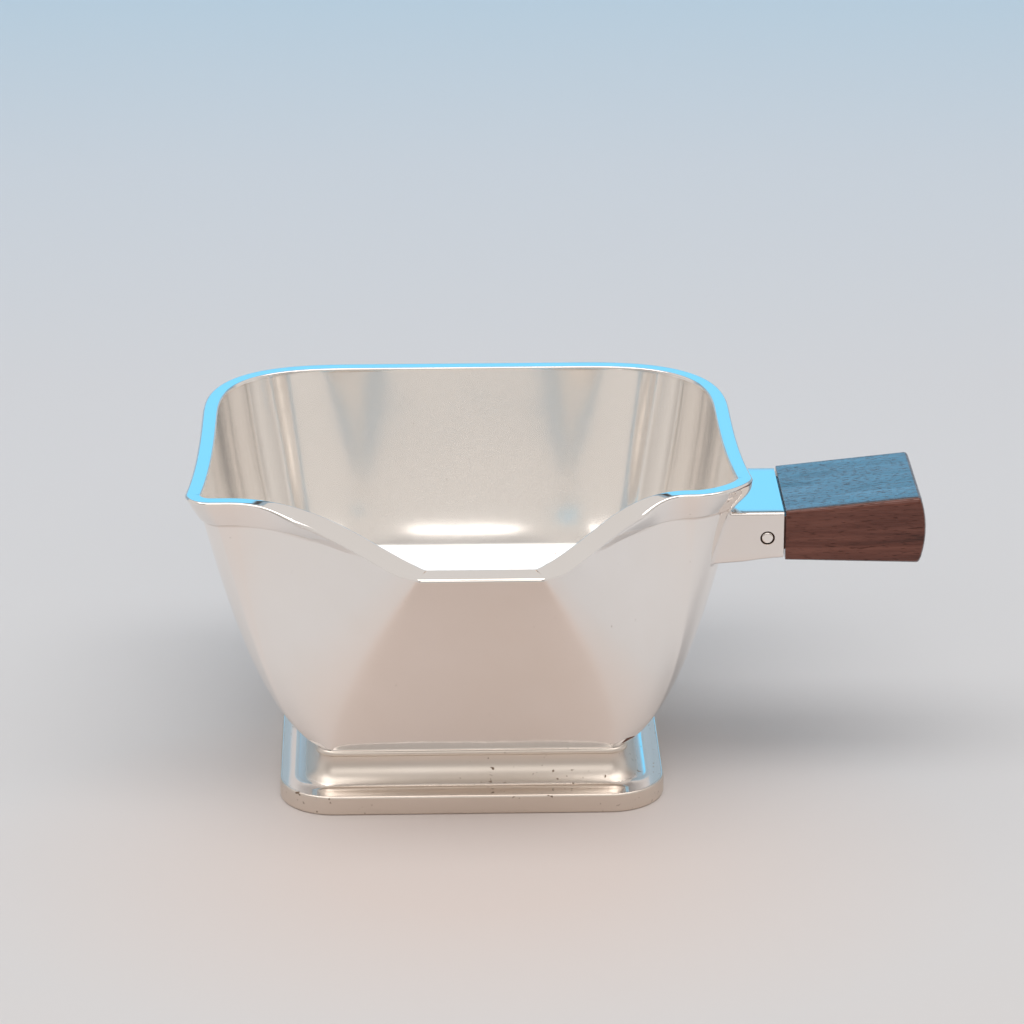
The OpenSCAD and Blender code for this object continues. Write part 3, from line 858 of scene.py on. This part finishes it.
def make_grip(material):
    """Rosewood grip: grows towards a gently domed free end, edges eased, with its tenon in the socket."""
    length = GRIP_END_X - GRIP_X
    base_z = SOCKET_TOP_Z - SOCKET_H
    rings = []

    def section(s, shrink, r):
        top = SOCKET_TOP_Z + GRIP_PROUD + GRIP_RISE * s - shrink
        low = base_z - GRIP_PROUD - GRIP_DROP * s + shrink
        half_w = SOCKET_HALF_W + GRIP_PROUD + GRIP_FLARE * s - shrink
        return rounded_box_ring(HANDLE_Y, (top + low) / 2, half_w, (top - low) / 2, r, 14, 7)[0]

    tenon_r, fit = 0.3, 0.06
    tenon = rounded_box_ring(HANDLE_Y, SOCKET_TOP_Z - SOCKET_H / 2, SOCKET_HALF_W - SOCKET_WALL - fit,
                             SOCKET_H / 2 - SOCKET_WALL - fit, tenon_r, 14, 7)[0]
    for x in (SOCKET_END_X - 6.5, SOCKET_END_X - 2, GRIP_X + 0.1):
        rings.append([(x, y, z) for y, z in tenon])
    joint_r = 0.12
    for a in np.radians((90, 60, 30, 0)):
        flat = section(0, joint_r * (1 - math.cos(a)), GRIP_EDGE_R * 0.6)
        rings.append([(GRIP_X + joint_r * (1 - math.sin(a)), y, z) for y, z in flat])
    end_r = GRIP_EDGE_R * 0.8
    body_end = 1 - (end_r + GRIP_DOME + GRIP_BULGE) / length
    for s in np.linspace(0.03, body_end, 16):
        flat = section(s, 0, mix(GRIP_EDGE_R * 0.6, GRIP_EDGE_R, s))
        rings.append([(GRIP_X + length * s, y, z) for y, z in flat])
    for a in np.radians((18, 36, 54, 72, 90)):
        flat = section(body_end, end_r * (1 - math.cos(a)), GRIP_EDGE_R)
        rings.append([(GRIP_X + length * body_end + end_r * math.sin(a), y, z) for y, z in flat])
    zs = np.array(rings[-1])[:, 2]
    centre_z, half_h = (zs.max() + zs.min()) / 2, (zs.max() - zs.min()) / 2
    for ring in rings[-6:]:
        for i, (x, y, z) in enumerate(ring):
            ring[i] = (x + GRIP_BULGE * (1 - min(1, abs(z - centre_z) / half_h) ** 2), y, z)
    edge = np.array(rings[-1])
    middle = edge.mean(0)
    middle[0] = edge[:, 0].max()
    for s in (0.9, 0.75, 0.55, 0.35, 0.15):
        ring = middle + (edge - middle) * s
        sag = GRIP_BULGE * (np.abs(ring[:, 2] - centre_z) / half_h) ** 2
        ring[:, 0] = middle[0] - sag + GRIP_DOME * (1 - s ** 2)
        rings.append(ring)
    n = len(rings[0])
    points = [np.array(p) for ring in rings for p in ring]
    faces = closed_grid(len(rings), n)
    tip = middle.copy()
    tip[0] = middle[0] + GRIP_DOME
    cap(faces, points, (len(rings) - 1) * n, n, tip, True)
    cap(faces, points, 0, n, np.mean(points[:n], 0), False)
    return new_piece("grip_wood", points, faces, material, ["grip"], 50)


# ================================================================ studio, in metres
PAPER = [(0.0, (0.67, 0.64, 0.63)), (0.28, (0.70, 0.695, 0.705)), (0.45, (0.71, 0.72, 0.75)),
         (0.62, (0.70, 0.76, 0.83)), (0.85, (0.62, 0.80, 0.94))]     # colours from front to back
PAPER_PAINTED_BOUNCE = (0.72, 0.63, 0.59)         # painted warm bounce light and a lightened contact shadow, just in front of the foot
PAPER_GRAIN = (0.7, 0.7, 0.7)
CARD_X = 0.08                           # middle of the blue card and of the painted shade band over it
CARD_BASE, CARD_GLOW = (0.02, 0.05, 0.08), (0.24, 0.76, 1.15)
UNLIT_SHADE_BAND = (0.15, 0.14, 0.135)
LAMP_WHITE = (1.0, 0.985, 0.97)
ROOM_FRONT, ROOM_BACK = (0.56, 0.54, 0.525), (1.0, 0.98, 0.965)


def stage_material(name):
    """Seamless paper: a pale floor that turns faintly blue behind, with a lit blue card low on the rise, a
    band of painted shade above the card and a painted warm pool of bounce light just in front of the foot.
    """
    g = Graph(name)
    coord = g.add("TexCoord")
    split = g.add("SeparateXYZ")
    g.link(coord.outputs["Object"], split.inputs["Vector"])
    x, y, z = split.outputs["X"], split.outputs["Y"], split.outputs["Z"]
    grain = g.noise(g.place((1, 1, 1)), 900, 2, 0.6)
    floor = g.ramp(g.span(y, -0.3, 0.9), PAPER)
    from_spout = g.maths("MULTIPLY", g.maths("ADD", y, 0.065), 1.3)
    squares = g.maths("ADD", g.maths("MULTIPLY", x, x), g.maths("MULTIPLY", from_spout, from_spout))
    near = g.maths("SQRT", squares, 0.0)
    # painted light: a warm pool of bounce light from the silver, with a lighter contact shadow, on the paper
    # in front of the foot
    floor = g.blend(g.span(near, 0.11, 0.03, 0.0, 0.9), floor, PAPER_PAINTED_BOUNCE)
    floor = g.blend(g.span(grain, 0.3, 0.7, 0.0, 0.03), floor, PAPER_GRAIN)
    aside = g.maths("ABSOLUTE", g.maths("SUBTRACT", x, CARD_X), 0.0)
    middle = g.span(aside, 0.42, 0.28)
    blue = g.maths("MULTIPLY", g.span(z, 0.36, 0.46), g.span(z, 0.84, 0.78))
    blue = g.maths("MULTIPLY", blue, middle)
    # painted shade: a dark band on the paper above the card, standing in for the unlit part of the studio
    # beyond
    shade_band = g.maths("MULTIPLY", g.maths("MULTIPLY", g.span(z, 0.80, 0.86), g.span(z, 1.05, 0.98)), middle)
    floor = g.blend(blue, floor, CARD_BASE)
    floor = g.blend(shade_band, floor, UNLIT_SHADE_BAND)
    g.link(floor, g.shader.inputs["Base Color"])
    g.shader.inputs["Roughness"].default_value = 0.9
    g.shader.inputs["Specular IOR Level"].default_value = 0.1
    g.link(g.blend(blue, (0.0, 0.0, 0.0), CARD_GLOW), g.shader.inputs["Emission Color"])
    g.shader.inputs["Emission Strength"].default_value = 1.0
    return g.material


def make_stage():
    """One sheet: flat floor, a curve, and a rise behind."""
    front, bend, radius, top = -3.0, 1.0, 0.45, 1.25
    half = 3.0
    path = [(front + (bend - front) * s, 0.0) for s in np.linspace(0, 1, 40)]
    turn = np.radians(np.linspace(4, 90, 20))
    path += [(bend + radius * math.sin(a), radius * (1 - math.cos(a))) for a in turn]
    path += [(bend + radius, z) for z in np.linspace(radius, top, 12)[1:]]
    xs = np.linspace(-half, half, 25)
    points = [(float(x), float(y), float(z)) for y, z in path for x in xs]
    n = len(xs)
    faces = [(j * n + i, j * n + i + 1, (j + 1) * n + i + 1, (j + 1) * n + i)
             for j in range(len(path) - 1) for i in range(n - 1)]
    mesh = bpy.data.meshes.new("paper_sweep")
    mesh.from_pydata(points, [], faces)
    mesh.polygons.foreach_set("use_smooth", [True] * len(mesh.polygons))
    sweep = bpy.data.objects.new("paper_sweep", mesh)
    bpy.context.scene.collection.objects.link(sweep)
    mesh.materials.append(stage_material("seamless_paper"))
    return sweep


def panel(name, centre, target, width, height, radiance):
    """A soft rectangular light that faces the target."""
    light = bpy.data.lights.new(name, "AREA")
    light.shape = "RECTANGLE"
    light.size = width
    light.size_y = height
    light.energy = 4.0 * radiance * width * height
    light.color = LAMP_WHITE
    lamp = bpy.data.objects.new(name, light)
    bpy.context.scene.collection.objects.link(lamp)
    lamp.location = centre
    lamp.rotation_mode = "QUATERNION"
    lamp.rotation_quaternion = (Vector(target) - Vector(centre)).to_track_quat("-Z", "Y")
    return lamp


def make_lights():
    """Two soft panels, one overhead and one in front."""
    panel("overhead", (0.0, -0.20, 1.25), (0, -0.20, 0), 1.9, 0.49, 2.0)
    panel("front", (0.0, -1.6, 1.12), (0, 0, 0.03), 1.7, 0.62, 1.05)


def make_room():
    """A pale, evenly lit room, a little darker in front."""
    world = bpy.data.worlds.new("pale_room")
    world.use_nodes = True
    tree = world.node_tree
    coord = tree.nodes.new("ShaderNodeTexCoord")
    split = tree.nodes.new("ShaderNodeSeparateXYZ")
    away = tree.nodes.new("ShaderNodeMapRange")
    away.inputs["From Min"].default_value = -1.0
    away.inputs["From Max"].default_value = 1.0
    ramp = tree.nodes.new("ShaderNodeValToRGB")
    for point, (position, colour) in zip(ramp.color_ramp.elements, ((0.10, ROOM_FRONT), (0.42, ROOM_BACK))):
        point.position = position
        point.color = (*colour, 1)
    background = tree.nodes["Background"]
    background.inputs["Strength"].default_value = 0.68
    tree.links.new(coord.outputs["Generated"], split.inputs["Vector"])
    tree.links.new(split.outputs["Y"], away.inputs["Value"])
    tree.links.new(away.outputs["Result"], ramp.inputs["Fac"])
    tree.links.new(ramp.outputs["Color"], background.inputs["Color"])
    bpy.context.scene.world = world


def make_camera():
    """Camera above the table in front of the spout, slightly to the side away from the handle."""
    elevation, turn = math.radians(21), math.radians(1.6)
    distance = 0.9917
    aim = Vector((0.010, 0.0176, 0.0466))
    forward = Vector((math.sin(turn) * math.cos(elevation), math.cos(turn) * math.cos(elevation),
                      -math.sin(elevation)))
    data = bpy.data.cameras.new("camera")
    data.sensor_width = 36
    data.lens = 156.3
    data.clip_start = 0.05
    data.clip_end = 20
    camera = bpy.data.objects.new("camera", data)
    camera.location = aim - forward * distance
    camera.rotation_mode = "QUATERNION"
    camera.rotation_quaternion = forward.to_track_quat("-Z", "Y")
    bpy.context.scene.collection.objects.link(camera)
    bpy.context.scene.camera = camera


# ================================================================ the scene
bowl_silver = silver("silver_bowl", 1.0, 0.2, inner_bloom=0.22)
rim_silver = silver("silver_rim", 0.4, 0.5)
# painted shade: the foot, neck wire and band get a darker, browner copy of the silver for the shade under
# the bowl
foot_silver_shaded = silver("silver_foot_painted_shade", 0.6, 1.6, tint=(0.77, 0.69, 0.615), dull=0.34)
# painted shade: the socket gets a darker, browner copy of the silver for the shaded floor it reflects
socket_silver_shaded = silver("silver_socket_painted_shade", 0.5, 0.8, tint=(0.90, 0.84, 0.80), dull=0.08)
pin_silver = silver("silver_pin", 0.5, 0.5)

bowl = make_bowl(bowl_silver)
make_rim(rim_silver)
make_wire(foot_silver_shaded)
make_foot(foot_silver_shaded)
make_band(foot_silver_shaded)
make_socket(socket_silver_shaded, bowl)
make_pin(pin_silver)
make_grip(rosewood())
make_stage()
make_lights()
make_room()
make_camera()
bpy.context.scene.view_settings.view_transform = "Standard"
